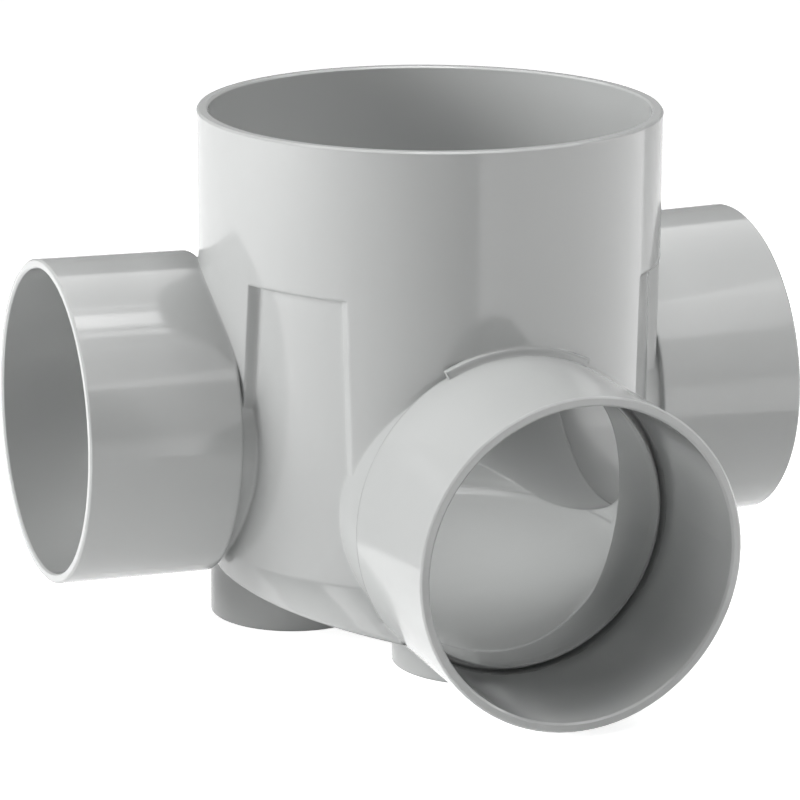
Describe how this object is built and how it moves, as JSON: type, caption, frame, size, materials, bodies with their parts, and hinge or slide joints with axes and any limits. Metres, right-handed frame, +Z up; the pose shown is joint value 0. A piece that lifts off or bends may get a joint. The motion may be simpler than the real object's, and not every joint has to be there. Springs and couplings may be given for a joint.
{
  "type": "drain inspection chamber",
  "caption": "Round one-piece drain inspection chamber with an upright riser socket, facing inlet sockets, a lower front outlet socket and round feet.",
  "frame": {"origin": "centre of the riser socket's pipe stop, on the riser's axis", "axes": "+Z up along the riser's axis out of its mouth, -Y along the outlet's axis out of its mouth, +X and -X towards the two inlets"},
  "size_m": [0.2884, 0.238, 0.2],
  "materials": {
    "moulded_plastic": "semi-gloss light grey, injection moulded"
  },
  "bodies": {
    "root": {"chamber_body": "moulded_plastic"}
  },
  "joints": []
}
